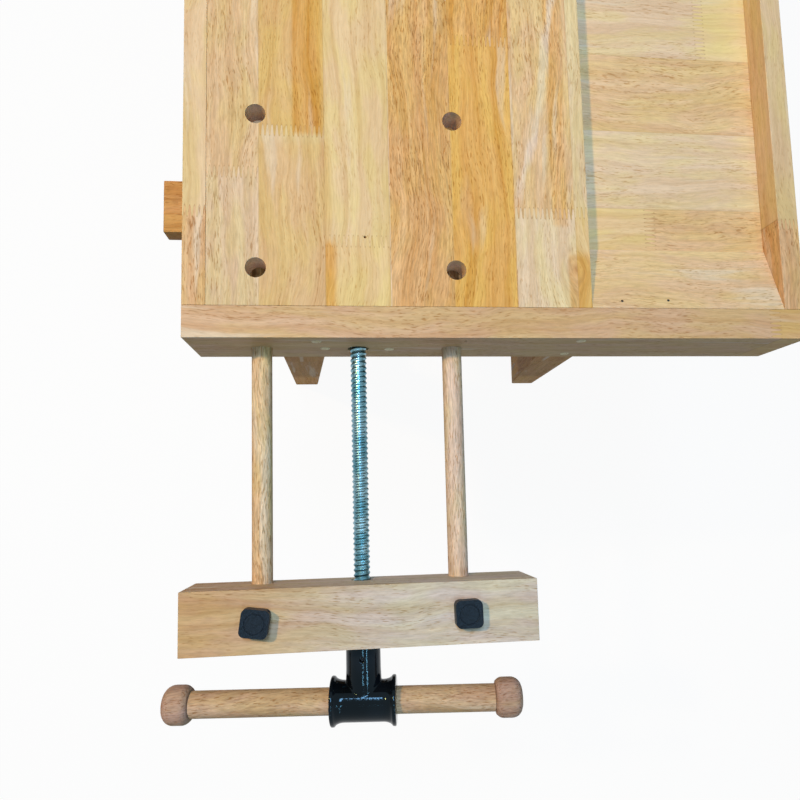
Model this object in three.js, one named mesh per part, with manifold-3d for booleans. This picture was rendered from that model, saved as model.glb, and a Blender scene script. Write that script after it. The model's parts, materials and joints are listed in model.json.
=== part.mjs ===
// Woodworking bench with a tail vise at its right end and a front vise at its left front.
// Millimetres. X runs along the bench to its right end, Y to the back and Z up.
import * as THREE from "three";
import { mergeVertices } from "three/addons/utils/BufferGeometryUtils.js";
import Module from "manifold-3d";

// Top
const BENCH_HEIGHT = 860;
const TOP_LENGTH = 1482; // over both end boards
const SLAB_WIDTH = 366;
const SLAB_THICK = 27;
const EDGE_THICK = 21; // board along the slab's front edge
const SKIRT_HEIGHT = 80; // end boards, edge board and back rail, down from the top
const END_BOARD_THICK = 30;
const MIDDLE_RAIL_THICK = 20;
const BACK_RAIL_THICK = 22;

// Tool tray
const TRAY_WIDTH = 201;
const TRAY_FLOOR_THICK = 10;
const TRAY_GROOVE = 6; // depth of the back rail's groove
const RAMP_LENGTH = 69;
const RAMP_TOE = 2; // height left at the foot of the ramp

// Dog holes in the slab, and the dogs in the jaws
const DOG_HOLE_DIA = 19;
const DOG_PITCH = 150;
const DOG_FROM_END = 66;
const DOG_HEAD = 24.5;
const DOG_HEAD_HEIGHT = 11;
const DOG_CORNER = 5;
const DOG_BEVEL = 1.4;
const DOG_SHANK = 31;
const DOG_TURNS = [-8, 1]; // degrees, the first and the second dog of a jaw

// Trestles
const TRESTLE_INSET = 160; // from the end of the top to the middle of the bearer
const BEARER_WIDTH = 56;
const BEARER_THICK = 22;
const BEARER_NOSE = 39; // in front of the edge board
const LEG_DEPTH = 95; // along the bench
const LEG_WIDTH = 75;
const LEG_FOOT_WIDTH = 48;
const LEG_TAPER = 290; // height of the tapered foot
const LEG_INSET = 34; // behind the front of the top, and before its back
const CROSS_RAIL_THICK = 25;
const CROSS_RAIL_HEIGHT = 80;
const CROSS_RAIL_LIFT = 320;
const STRETCHER_THICK = 25;
const STRETCHER_HEIGHT = 90;
const STRETCHER_LIFT = 315;
const BOLT_DIA = 8;
const BOLT_HEAD_DIA = 20;
const BOLT_HEAD_HEIGHT = 5;
const BOLT_REACH = 48; // into the end of the stretcher
const BARREL_NUT_DIA = 14;
const BARREL_NUT_FROM_END = 36;

// Vises
const TAIL_OPENING = 226;
const FRONT_OPENING = 60;
const MOST_OPENING = 238;
const VISE_CENTRE = 160; // from the corner of the bench to the screw
const VISE_DROP = 45; // from the top to the screw and the rods
const GUIDE_SPREAD = 188; // between the rods, between the dogs and between the lines of dog holes
const JAW_LENGTH = 320;
const JAW_THICK = 56;
const JAW_HEIGHT = 64;
const ROD_DIA = 19.6;
const ROD_SOCKET = 44;
const ROD_CHAMFER = 1.5;
const GUIDE_GAP = 60; // from the board in front to the inner guide rail
const GUIDE_THICK = 22;
const SCREW_DIA = 16;
const SCREW_HOLE_DIA = 21;
const JOURNAL_DIA = 13;
const SCREW_PAST_NUT = 6; // past the nut at the widest opening
const NUT_LENGTH = 36;
const NUT_BOSS_DIA = 32;
const FLANGE_LENGTH = 92;
const FLANGE_HEIGHT = 34;
const FLANGE_THICK = 6;
const FLANGE_HOLE_DIA = 6;
const FLANGE_HOLE_SPREAD = 62;
const COLLAR_DIA = 28;
const COLLAR_LENGTH = 9;
const PLATE_LENGTH = 64;
const PLATE_HEIGHT = 34;
const PLATE_THICK = 4;
const HUB_REACH = 57; // from the jaw's outer face to the handle
const HUB_STEM_DIA = 33;
const HUB_TUBE_DIA = 38;
const HUB_TUBE_LENGTH = 62;
const HUB_RIM_DIA = 46;
const HUB_RIM_WIDTH = 4;
const HUB_FLARE = 7; // length of the curve from the tube to the rim
const HUB_BORE_DEPTH = 26;
const PIN_DIA = 4;
const PIN_FROM_PLATE = 12;
const PIN_SINK = 5; // below the surface of the stem
const HANDLE_DIA = 25;
const HANDLE_LENGTH = 340; // over both knobs
const TAIL_HANDLE_SLIP = 20; // slid towards the first knob
const TAIL_HANDLE_TILT = 6.6; // degrees, the second knob raised
const FRONT_HANDLE_SLIP = 14;
const KNOB_DIA = 38;
const KNOB_LENGTH = 26;
const KNOB_FACE_DIA = 30;
const KNOB_ROUND = 6;
const KNOB_DOME = 7;
const TENON_DIA = 15;
const TENON_LENGTH = 14;

// Fits
const FIT = 0.2; // between pieces that are glued, screwed or seated
const RUN = 0.3; // round what slides or turns, on the radius
const LOOSE = 1; // round the collar, under the dogs and past the tip of a bolt
const OVERCUT = 1; // past the faces that a hole comes out of

// Facets
const ROUND = 20; // rods, screws and their holes
const TURNED = 24; // handles and castings
const SMALL = 12; // bolts, pins and their holes
const ARC_STEPS = 4;

const AXES = { X: new THREE.Vector3(1, 0, 0), Y: new THREE.Vector3(0, 1, 0), Z: new THREE.Vector3(0, 0, 1) };

const MATERIALS = {
  top: { color: 0xd9b98c, roughness: 0.5, metalness: 0 },
  frame: { color: 0xcfa877, roughness: 0.55, metalness: 0 },
  tray: { color: 0xdcc39c, roughness: 0.5, metalness: 0 },
  jaw: { color: 0xd3b98f, roughness: 0.5, metalness: 0 },
  turned: { color: 0xc9a67c, roughness: 0.5, metalness: 0 },
  steel: { color: 0x9fb0b8, roughness: 0.3, metalness: 1 },
  casting: { color: 0x15181c, roughness: 0.3, metalness: 0.2 },
  plastic: { color: 0x1a1d22, roughness: 0.4, metalness: 0 },
};

const wasm = await Module();
wasm.setup();

// A closed geometry as a solid that can be joined and cut.
function solid(geometry) {
  const bare = new THREE.BufferGeometry();
  bare.setAttribute("position", geometry.getAttribute("position"));
  bare.setIndex(geometry.index);
  const merged = mergeVertices(bare);
  const triVerts = new Uint32Array(merged.index.array);
  const vertProperties = merged.getAttribute("position").array;
  return new wasm.Manifold(new wasm.Mesh({ numProp: 3, vertProperties, triVerts }));
}

function geometryOf(body) {
  const mesh = body.getMesh();
  const geometry = new THREE.BufferGeometry();
  geometry.setAttribute("position", new THREE.BufferAttribute(mesh.vertProperties, 3));
  geometry.setIndex(new THREE.BufferAttribute(mesh.triVerts, 1));
  geometry.computeVertexNormals();
  return geometry;
}

function join(...geometries) {
  return geometryOf(geometries.map(solid).reduce((whole, next) => whole.add(next)));
}

function cut(geometry, ...tools) {
  return geometryOf(tools.map(solid).reduce((whole, tool) => whole.subtract(tool), solid(geometry)));
}

// The four corners of a rectangle in the two coordinates of an outline.
function rectangle(a0, a1, b0, b1) {
  return [[a0, b0], [a1, b0], [a1, b1], [a0, b1]].map(([a, b]) => new THREE.Vector2(a, b));
}

// Points of an arc in the two coordinates of an outline.
function arc(a, b, radius, start, sweep, steps) {
  return Array.from({ length: steps + 1 }, (_, step) => {
    const angle = start + (sweep * step) / steps;
    return new THREE.Vector2(a + radius * Math.cos(angle), b + radius * Math.sin(angle));
  });
}

function circle(a, b, dia, sides = ROUND) {
  return arc(a, b, dia / 2, 0, 2 * Math.PI, sides).slice(1);
}

// A strip with round ends, centred on a point.
function roundEnded(a, b, length, height) {
  const radius = height / 2;
  const half = length / 2 - radius;
  return [
    ...arc(a + half, b, radius, -Math.PI / 2, Math.PI, SMALL / 2),
    ...arc(a - half, b, radius, Math.PI / 2, Math.PI, SMALL / 2),
  ];
}

// Turns geometry made along Z so that it runs along another axis. An outline's two coordinates
// are then the next two axes in X, Y, Z order.
function along(axis, geometry) {
  const order = { X: ["Y", "Z", "X"], Y: ["Z", "X", "Y"], Z: ["X", "Y", "Z"] }[axis];
  return geometry.applyMatrix4(new THREE.Matrix4().makeBasis(...order.map((name) => AXES[name])));
}

// Extrudes an outline, with its round holes, along an axis.
function extrude(axis, outline, from, to, holes = []) {
  const shape = new THREE.Shape(outline);
  shape.holes = holes.map((hole) => new THREE.Path(hole));
  const options = { depth: to - from, bevelEnabled: false };
  return along(axis, new THREE.ExtrudeGeometry(shape, options).translate(0, 0, from));
}

function box(x, y, z) {
  return extrude("X", rectangle(...y, ...z), ...x);
}

// A round bar along an axis; a and b are its place on the next two axes.
function bar(axis, a, b, dia, from, to, sides = ROUND) {
  const geometry = new THREE.CylinderGeometry(dia / 2, dia / 2, to - from, sides);
  return along(axis, geometry.rotateX(Math.PI / 2).translate(a, b, (from + to) / 2));
}

// Turns a profile of [radius, height] points, listed from its low end to its high end.
function turned(axis, a, b, profile, sides = TURNED) {
  const points = profile.map(([radius, height]) => new THREE.Vector2(radius, height));
  return along(axis, new THREE.LatheGeometry(points, sides).rotateX(Math.PI / 2).translate(a, b, 0));
}

// Points of a quarter of an ellipse between two [radius, height] points, which sets out along the
// radius or along the height.
function quarter(from, to, radiusFirst) {
  return Array.from({ length: ARC_STEPS + 1 }, (_, step) => {
    const angle = (step / ARC_STEPS) * (Math.PI / 2);
    const rise = Math.sin(angle);
    const ease = 1 - Math.cos(angle);
    const [first, second] = radiusFirst ? [rise, ease] : [ease, rise];
    return [from[0] + (to[0] - from[0]) * first, from[1] + (to[1] - from[1]) * second];
  });
}

function piece(group, name, geometry, finish) {
  const mesh = new THREE.Mesh(geometry, new THREE.MeshStandardMaterial(MATERIALS[finish]));
  mesh.name = name;
  group.add(mesh);
}

// Faces that several pieces share
const endX = TOP_LENGTH / 2;
const innerX = endX - END_BOARD_THICK - FIT;
const topZ = BENCH_HEIGHT;
const slabZ = topZ - SLAB_THICK;
const trayUnderZ = slabZ - TRAY_FLOOR_THICK;
const skirtZ = topZ - SKIRT_HEIGHT;
const bearerZ = skirtZ - BEARER_THICK;
const slabBackY = EDGE_THICK + SLAB_WIDTH;
const trayBackY = slabBackY + TRAY_WIDTH;
const topDepth = trayBackY + BACK_RAIL_THICK;
const middleY = slabBackY - MIDDLE_RAIL_THICK;
const legMiddleX = endX - TRESTLE_INSET;
const guideOffsets = [-GUIDE_SPREAD / 2, GUIDE_SPREAD / 2];

// Holes for the two rods and the screw of a vise. place gives the point of the outline at an offset
// from the vise's middle.
function viseHoles(place) {
  const rods = guideOffsets.map((offset) => circle(...place(offset), ROD_DIA + 2 * RUN));
  return [...rods, circle(...place(0), SCREW_HOLE_DIA)];
}

function makeTop(group) {
  const length = [-innerX, innerX];
  const count = Math.floor((TOP_LENGTH - 2 * DOG_FROM_END) / DOG_PITCH) + 1;
  const dogHoles = Array.from({ length: count }, (_, i) => endX - DOG_FROM_END - i * DOG_PITCH).flatMap((x) =>
    guideOffsets.map((offset) => circle(x, VISE_CENTRE + offset, DOG_HOLE_DIA)),
  );
  const slab = rectangle(...length, EDGE_THICK + FIT, slabBackY);
  piece(group, "top_slab", extrude("Z", slab, slabZ, topZ, dogHoles), "top");

  const frontHoles = viseHoles((offset) => [topZ - VISE_DROP, VISE_CENTRE - endX + offset]);
  const edge = rectangle(skirtZ, topZ, ...length);
  piece(group, "front_edge_board", extrude("Y", edge, 0, EDGE_THICK, frontHoles), "top");

  const rail = box(length, [middleY, slabBackY], [skirtZ, trayUnderZ - FIT]);
  piece(group, "middle_rail", rail, "frame");

  const floorBackY = trayBackY + TRAY_GROOVE - FIT;
  const floor = box(length, [middleY, floorBackY], [trayUnderZ, slabZ - FIT]);
  piece(group, "tray_floor", floor, "tray");

  const back = rectangle(trayBackY, topDepth, skirtZ, topZ);
  const groove = [
    [trayBackY, slabZ],
    [trayBackY + TRAY_GROOVE, slabZ],
    [trayBackY + TRAY_GROOVE, trayUnderZ - FIT],
    [trayBackY, trayUnderZ - FIT],
  ];
  back.push(...groove.map(([y, z]) => new THREE.Vector2(y, z)));
  piece(group, "back_rail", extrude("X", back, ...length), "top");

  for (const [side, sign] of [["left", -1], ["right", 1]]) {
    const [near, far] = [sign * endX, sign * (endX - END_BOARD_THICK)].sort((a, b) => a - b);
    const tailHoles = viseHoles((offset) => [VISE_CENTRE + offset, topZ - VISE_DROP]);
    const board = rectangle(0, topDepth, skirtZ, topZ);
    const end = extrude("X", board, near, far, sign > 0 ? tailHoles : []);
    piece(group, `end_board_${side}`, end, "top");

    const rampX = innerX - RAMP_LENGTH;
    const ramp = [
      [slabZ, sign * rampX],
      [slabZ, sign * innerX],
      [topZ, sign * innerX],
      [slabZ + RAMP_TOE, sign * rampX],
    ].map(([z, x]) => new THREE.Vector2(z, x));
    piece(group, `tray_ramp_${side}`, extrude("Y", ramp, slabBackY + FIT, trayBackY - FIT), "tray");
  }

  const guideZ = [skirtZ, slabZ - FIT];
  const tailGuideX = innerX - GUIDE_GAP;
  const tailGuide = rectangle(EDGE_THICK + FIT, middleY - FIT, ...guideZ);
  const tailHoles = viseHoles((offset) => [VISE_CENTRE + offset, topZ - VISE_DROP]);
  const tailRail = extrude("X", tailGuide, tailGuideX - GUIDE_THICK, tailGuideX, tailHoles);
  piece(group, "tail_guide_rail", tailRail, "frame");

  const frontGuideY = EDGE_THICK + FIT + GUIDE_GAP;
  const frontGuide = rectangle(...guideZ, -innerX, JAW_LENGTH - endX);
  const frontRail = extrude("Y", frontGuide, frontGuideY, frontGuideY + GUIDE_THICK, frontHoles);
  piece(group, "front_guide_rail", frontRail, "frame");
}

// A leg is straight on its outer side and tapers to the foot on its inner side.
function legOutline(front) {
  const place = (y, z) => new THREE.Vector2(front ? LEG_INSET + y : topDepth - LEG_INSET - y, z);
  const outline = [
    place(0, 0),
    place(LEG_FOOT_WIDTH, 0),
    place(LEG_WIDTH, LEG_TAPER),
    place(LEG_WIDTH, bearerZ - FIT),
    place(0, bearerZ - FIT),
  ];
  return front ? outline : outline.reverse();
}

function makeTrestles(group) {
  const boltZ = STRETCHER_LIFT + STRETCHER_HEIGHT / 2;
  const boltYs = { front: LEG_INSET + LEG_WIDTH / 2, rear: topDepth - LEG_INSET - LEG_WIDTH / 2 };
  for (const [side, sign] of [["left", -1], ["right", 1]]) {
    const middle = sign * legMiddleX;
    const across = (width) => [middle - width / 2, middle + width / 2];
    const bearer = box(across(BEARER_WIDTH), [-BEARER_NOSE, topDepth], [bearerZ, skirtZ - FIT]);
    piece(group, `${side}_bearer`, bearer, "frame");

    for (const [end, boltY] of Object.entries(boltYs)) {
      const hole = circle(boltY, boltZ, BOLT_DIA + 2 * RUN, SMALL);
      const leg = extrude("X", legOutline(end === "front"), ...across(LEG_DEPTH), [hole]);
      piece(group, `${side}_${end}_leg`, leg, "frame");
    }

    const railY = LEG_INSET + LEG_WIDTH + FIT;
    const railZ = [CROSS_RAIL_LIFT, CROSS_RAIL_LIFT + CROSS_RAIL_HEIGHT];
    const rail = box(across(CROSS_RAIL_THICK), [railY, topDepth - railY], railZ);
    piece(group, `${side}_cross_rail`, rail, "frame");
  }

  const legInnerX = legMiddleX - LEG_DEPTH / 2;
  const stretcherEnd = legInnerX - FIT;
  const nutX = stretcherEnd - BARREL_NUT_FROM_END;
  const tipX = stretcherEnd - BOLT_REACH;
  for (const [end, boltY] of Object.entries(boltYs)) {
    const depth = [boltY - STRETCHER_THICK / 2, boltY + STRETCHER_THICK / 2];
    const height = [STRETCHER_LIFT, STRETCHER_LIFT + STRETCHER_HEIGHT];
    const blank = box([-stretcherEnd, stretcherEnd], depth, height);
    const bores = [-1, 1].flatMap((sign) => {
      const bore = [sign * (tipX - LOOSE), sign * (stretcherEnd + OVERCUT)].sort((a, b) => a - b);
      const nutBore = [depth[0] - OVERCUT, depth[1] + OVERCUT];
      return [
        bar("X", boltY, boltZ, BOLT_DIA + 2 * RUN, ...bore, SMALL),
        bar("Y", boltZ, sign * nutX, BARREL_NUT_DIA + 2 * FIT, ...nutBore, SMALL),
      ];
    });
    piece(group, `${end}_stretcher`, cut(blank, ...bores), "frame");

    for (const [side, sign] of [["left", -1], ["right", 1]]) {
      const headX = legMiddleX + LEG_DEPTH / 2 + FIT;
      const profile = [
        [0, tipX],
        [BOLT_DIA / 2, tipX],
        [BOLT_DIA / 2, headX],
        [BOLT_HEAD_DIA / 2, headX],
        ...quarter([BOLT_HEAD_DIA / 2, headX + BOLT_HEAD_HEIGHT / 2], [0, headX + BOLT_HEAD_HEIGHT], false),
      ];
      const bolt = turned("X", 0, 0, profile, SMALL).rotateZ(sign > 0 ? 0 : Math.PI);
      piece(group, `${side}_${end}_bolt`, bolt.translate(0, boltY, boltZ), "steel");

      const barrel = bar("Y", boltZ, sign * nutX, BARREL_NUT_DIA, depth[0] + FIT, depth[1] - FIT, SMALL);
      const thread = [sign * (nutX - BARREL_NUT_DIA), sign * (nutX + BARREL_NUT_DIA)].sort((a, b) => a - b);
      const nut = cut(barrel, bar("X", boltY, boltZ, BOLT_DIA + 2 * FIT, ...thread, SMALL));
      piece(group, `${side}_${end}_barrel_nut`, nut, "steel");
    }
  }
}

// A bench dog: a square head with round corners on a round shank, with the head's underside at 0.
function makeDog() {
  const corner = DOG_HEAD / 2 - DOG_CORNER;
  const outline = [[1, -1], [1, 1], [-1, 1], [-1, -1]].flatMap(([a, b], turn) =>
    arc(a * corner, b * corner, DOG_CORNER, ((turn - 1) * Math.PI) / 2, Math.PI / 2, ARC_STEPS),
  );
  const head = new THREE.ExtrudeGeometry(new THREE.Shape(outline), {
    depth: DOG_HEAD_HEIGHT - 2 * DOG_BEVEL,
    bevelThickness: DOG_BEVEL,
    bevelSize: DOG_BEVEL,
    bevelOffset: -DOG_BEVEL,
    bevelSegments: 1,
  }).translate(0, 0, DOG_BEVEL);
  return join(head, bar("Z", 0, 0, DOG_HOLE_DIA - 2 * RUN, -DOG_SHANK, DOG_BEVEL));
}

// A vise in its own frame: X outwards from the outer face of its board, Y across with the screw
// at 0, and Z up from the bench's top.
function makeVise(label, sides, opening, boardThick, slip, tilt) {
  const group = new THREE.Group();
  const axisZ = -VISE_DROP;
  const jawX = [opening, opening + JAW_THICK];
  const plateX = [jawX[1] + FIT, jawX[1] + FIT + PLATE_THICK];
  const hubX = plateX[1] + RUN;
  const handleX = jawX[1] + HUB_REACH;
  const angle = THREE.MathUtils.degToRad(tilt);
  const tilted = (geometry) => geometry.translate(0, 0, -axisZ).rotateX(angle).translate(0, 0, axisZ);

  // Jaw, with its rod sockets, dog holes, screw hole and the recess of the collar
  const sockets = guideOffsets.map((y) =>
    bar("X", y, axisZ, ROD_DIA + 2 * FIT, jawX[0] - OVERCUT, jawX[0] + ROD_SOCKET),
  );
  const dogX = (jawX[0] + jawX[1]) / 2;
  const dogHoles = guideOffsets.map((y) => bar("Z", dogX, y, DOG_HOLE_DIA, -DOG_SHANK - LOOSE, OVERCUT));
  const screwHole = bar("X", 0, axisZ, SCREW_HOLE_DIA, jawX[0] - OVERCUT, jawX[1] + OVERCUT);
  const recessX = jawX[1] - COLLAR_LENGTH - RUN;
  const recess = bar("X", 0, axisZ, COLLAR_DIA + 2 * LOOSE, recessX, jawX[1] + OVERCUT);
  const jawBlank = box(jawX, [-JAW_LENGTH / 2, JAW_LENGTH / 2], [-JAW_HEIGHT, 0]);
  piece(group, `${label}_jaw`, cut(jawBlank, ...sockets, ...dogHoles, screwHole, recess), "jaw");

  const guideReach = END_BOARD_THICK + FIT + GUIDE_GAP + GUIDE_THICK;
  const rodEnd = jawX[0] + ROD_SOCKET - FIT;
  const rodStart = opening - MOST_OPENING - guideReach - ROD_CHAMFER;
  const rodProfile = [
    [0, rodStart],
    [ROD_DIA / 2 - ROD_CHAMFER, rodStart],
    [ROD_DIA / 2, rodStart + ROD_CHAMFER],
    [ROD_DIA / 2, rodEnd],
    [0, rodEnd],
  ];
  guideOffsets.forEach((y, i) => {
    piece(group, `${label}_guide_rod_${sides[i]}`, turned("X", y, axisZ, rodProfile, ROUND), "turned");

    const dog = makeDog().rotateZ(THREE.MathUtils.degToRad(DOG_TURNS[i])).translate(dogX, y, FIT);
    piece(group, `${label}_dog_${sides[i]}`, dog, "plastic");
  });

  // Screw: the threaded length, then a journal through the collar and the plate into the hub
  const collarX = [jawX[1] - COLLAR_LENGTH, jawX[1]];
  const nutEnd = END_BOARD_THICK + FIT + NUT_LENGTH;
  const screwStart = opening - MOST_OPENING - nutEnd - SCREW_PAST_NUT;
  const journalEnd = hubX + HUB_BORE_DEPTH - FIT;
  const pinX = plateX[1] + PIN_FROM_PLATE;
  const pinHoleZ = [axisZ - HUB_STEM_DIA, axisZ + HUB_STEM_DIA];
  const pinHole = tilted(bar("Z", pinX, 0, PIN_DIA + 2 * FIT, ...pinHoleZ, SMALL));
  const screwProfile = [
    [0, screwStart],
    [JOURNAL_DIA / 2, screwStart],
    [SCREW_DIA / 2, screwStart + (SCREW_DIA - JOURNAL_DIA) / 2],
    [SCREW_DIA / 2, collarX[0] - FIT],
    [JOURNAL_DIA / 2, collarX[0] - FIT],
    [JOURNAL_DIA / 2, journalEnd],
    [0, journalEnd],
  ];
  piece(group, `${label}_screw`, cut(turned("X", 0, axisZ, screwProfile, ROUND), pinHole), "steel");

  const collarBore = circle(0, axisZ, JOURNAL_DIA + 2 * FIT);
  const collar = extrude("X", circle(0, axisZ, COLLAR_DIA), ...collarX, [collarBore]);
  piece(group, `${label}_thrust_collar`, collar, "steel");

  const plateOutline = roundEnded(0, axisZ, PLATE_LENGTH, PLATE_HEIGHT);
  const plateBore = circle(0, axisZ, JOURNAL_DIA + 2 * RUN);
  piece(group, `${label}_thrust_plate`, extrude("X", plateOutline, ...plateX, [plateBore]), "casting");

  // Nut, on the inner face of the board
  const nutX = -boardThick - FIT;
  const flangeHoles = [-1, 1].map((sign) =>
    circle((sign * FLANGE_HOLE_SPREAD) / 2, axisZ, FLANGE_HOLE_DIA, SMALL),
  );
  const flangeOutline = roundEnded(0, axisZ, FLANGE_LENGTH, FLANGE_HEIGHT);
  const flange = extrude("X", flangeOutline, nutX - FLANGE_THICK, nutX, flangeHoles);
  const boss = bar("X", 0, axisZ, NUT_BOSS_DIA, nutX - NUT_LENGTH, nutX);
  const thread = bar("X", 0, axisZ, SCREW_DIA + 2 * RUN, nutX - NUT_LENGTH - OVERCUT, nutX + OVERCUT);
  piece(group, `${label}_nut`, cut(join(flange, boss), thread), "casting");

  // Hub: a stem on the screw, and a tube with flared rims across it for the handle
  const stem = bar("X", 0, axisZ, HUB_STEM_DIA, hubX, handleX, TURNED);
  const half = HUB_TUBE_LENGTH / 2;
  const rimEnd = half - HUB_RIM_WIDTH;
  const flareEnd = rimEnd - HUB_FLARE;
  const tubeProfile = [
    [0, -half],
    [HUB_RIM_DIA / 2, -half],
    ...quarter([HUB_RIM_DIA / 2, -rimEnd], [HUB_TUBE_DIA / 2, -flareEnd], true),
    ...quarter([HUB_TUBE_DIA / 2, flareEnd], [HUB_RIM_DIA / 2, rimEnd], false),
    [HUB_RIM_DIA / 2, half],
    [0, half],
  ];
  const tube = tilted(turned("Y", axisZ, handleX, tubeProfile));
  const handleBoreY = [-half - OVERCUT, half + OVERCUT];
  const handleBore = tilted(bar("Y", axisZ, handleX, HANDLE_DIA + 2 * RUN, ...handleBoreY, TURNED));
  const journalBore = bar("X", 0, axisZ, JOURNAL_DIA + 2 * FIT, hubX - OVERCUT, hubX + HUB_BORE_DEPTH);
  piece(group, `${label}_hub`, cut(join(stem, tube), handleBore, journalBore, pinHole), "casting");

  const pinReach = HUB_STEM_DIA / 2 - PIN_SINK;
  const pin = tilted(bar("Z", pinX, 0, PIN_DIA, axisZ - pinReach, axisZ + pinReach, SMALL));
  piece(group, `${label}_hub_pin`, pin, "steel");

  // Handle: a bar with a tenon in each of its two knobs
  const shoulder = HANDLE_LENGTH / 2 - KNOB_LENGTH;
  const tenonEnd = shoulder + TENON_LENGTH;
  const barProfile = [
    [0, -tenonEnd],
    [TENON_DIA / 2, -tenonEnd],
    [TENON_DIA / 2, -shoulder],
    [HANDLE_DIA / 2, -shoulder],
    [HANDLE_DIA / 2, shoulder],
    [TENON_DIA / 2, shoulder],
    [TENON_DIA / 2, tenonEnd],
    [0, tenonEnd],
  ];
  const handle = tilted(turned("Y", axisZ, handleX, barProfile).translate(0, -slip, 0));
  piece(group, `${label}_handle_bar`, handle, "turned");

  const socket = TENON_DIA / 2 + FIT;
  const knobProfile = [
    [0, TENON_LENGTH + FIT],
    [socket, TENON_LENGTH + FIT],
    [socket, FIT],
    ...quarter([KNOB_FACE_DIA / 2, FIT], [KNOB_DIA / 2, KNOB_ROUND], true),
    ...quarter([KNOB_DIA / 2, KNOB_LENGTH - KNOB_DOME], [0, KNOB_LENGTH], false),
  ];
  [-1, 1].forEach((sign, i) => {
    const knob = turned("Y", 0, 0, knobProfile).rotateX(sign > 0 ? 0 : Math.PI);
    knob.translate(handleX, sign * shoulder - slip, axisZ);
    piece(group, `${label}_knob_${sides[i]}`, tilted(knob), "turned");
  });
  return group;
}

const bench = new THREE.Group();
makeTop(bench);
makeTrestles(bench);
const tailHandle = [TAIL_HANDLE_SLIP, TAIL_HANDLE_TILT];
const tailVise = makeVise("tail", ["front", "rear"], TAIL_OPENING, END_BOARD_THICK, ...tailHandle);
tailVise.position.set(endX, VISE_CENTRE, topZ);
const frontVise = makeVise("front", ["left", "right"], FRONT_OPENING, EDGE_THICK, FRONT_HANDLE_SLIP, 0);
frontVise.position.set(VISE_CENTRE - endX, 0, topZ);
frontVise.rotation.z = -Math.PI / 2;
bench.add(tailVise, frontVise);

// The origin is on the floor, under the middle of the bench's overall box.
const group = new THREE.Group();
group.add(bench);
const bounds = new THREE.Box3().setFromObject(bench);
const middle = bounds.getCenter(new THREE.Vector3());
bench.position.set(-middle.x, -middle.y, -bounds.min.z);

export default group;
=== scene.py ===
"""Looks of the woodworking bench: boards with staves and finger joints, two vises with cut threads,
black castings and turned handles, on a pale floor under soft light."""
import json
import math

import bpy
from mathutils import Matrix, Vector


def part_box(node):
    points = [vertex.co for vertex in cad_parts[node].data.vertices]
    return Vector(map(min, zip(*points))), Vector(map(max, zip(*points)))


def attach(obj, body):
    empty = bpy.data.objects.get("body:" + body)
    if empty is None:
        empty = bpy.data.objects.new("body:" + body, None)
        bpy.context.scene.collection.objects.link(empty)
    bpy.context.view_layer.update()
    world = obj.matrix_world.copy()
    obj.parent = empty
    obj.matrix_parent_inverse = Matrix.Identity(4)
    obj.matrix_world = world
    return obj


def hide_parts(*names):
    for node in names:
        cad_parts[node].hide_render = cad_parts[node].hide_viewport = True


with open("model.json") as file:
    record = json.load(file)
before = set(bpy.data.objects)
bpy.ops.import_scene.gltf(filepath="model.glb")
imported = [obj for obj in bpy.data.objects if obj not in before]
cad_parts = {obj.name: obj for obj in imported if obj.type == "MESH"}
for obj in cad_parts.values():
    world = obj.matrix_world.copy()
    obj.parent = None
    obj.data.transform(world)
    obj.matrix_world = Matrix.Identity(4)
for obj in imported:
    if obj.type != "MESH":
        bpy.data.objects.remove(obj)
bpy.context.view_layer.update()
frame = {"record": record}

MM = 0.001
# Turn that lays Z along each axis
LENGTHWISE = {"X": (0, math.pi / 2, 0), "Y": (-math.pi / 2, 0, 0), "Z": (0, 0, 0)}

# Sizes of the vises, as in the part
FIT = 0.2  # millimetres between seated pieces
GUIDE_SPREAD = 188 * MM
VISE_DROP = 45 * MM
RUNNING_HOLE = 10.1 * MM
SCREW_HOLE = 10.5 * MM
DOG_HOLE = 9.5 * MM
THREAD_PITCH = 5 * MM

# Sides of round shapes
ROUND = 48
SMALL = 24

SAME_POINT = 1e-6  # points nearer than this are merged


def srgb(red, green, blue):
    """A colour given as 0 to 255 on screen, as the linear values that a shader takes."""
    def linear(value):
        value /= 255
        return value / 12.92 if value <= 0.04045 else ((value + 0.055) / 1.055) ** 2.4
    return linear(red), linear(green), linear(blue), 1


# Node trees

def feed(tree, node, sockets):
    """Fills inputs of a node, each with a value or with the output that feeds it."""
    for socket, value in sockets.items():
        if isinstance(value, bpy.types.NodeSocket):
            tree.links.new(value, node.inputs[socket])
        else:
            node.inputs[socket].default_value = value


def add_node(tree, kind, sockets=None, **settings):
    """Adds a shader node of a kind, with its settings and what feeds it."""
    node = tree.nodes.new(f"ShaderNode{kind}")
    for key, value in settings.items():
        setattr(node, key, value)
    feed(tree, node, sockets or {})
    return node


def calc(tree, operation, *values):
    return add_node(tree, "Math", dict(enumerate(values)), operation=operation).outputs[0]


def times(tree, first, second):
    return calc(tree, "MULTIPLY", first, second)


def vector_calc(tree, operation, *values, **named):
    """A vector worked out from others; named fills sockets that have a name of their own, such as Scale."""
    sockets = {**dict(enumerate(values)), **named}
    return add_node(tree, "VectorMath", sockets, operation=operation).outputs[0]


def split(tree, vector):
    return add_node(tree, "SeparateXYZ", {0: vector}).outputs


def combine(tree, **parts):
    return add_node(tree, "CombineXYZ", parts).outputs[0]


def grey(tree, value):
    return add_node(tree, "CombineColor", {"Red": value, "Green": value, "Blue": value}).outputs[0]


def random_draw(tree, vector):
    return add_node(tree, "TexWhiteNoise", {"Vector": vector}, noise_dimensions="3D").outputs


def blend(tree, share, first, second, kind="MIX"):
    sockets = {0: share, 6: first, 7: second}
    return add_node(tree, "Mix", sockets, data_type="RGBA", blend_type=kind).outputs[2]


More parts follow.
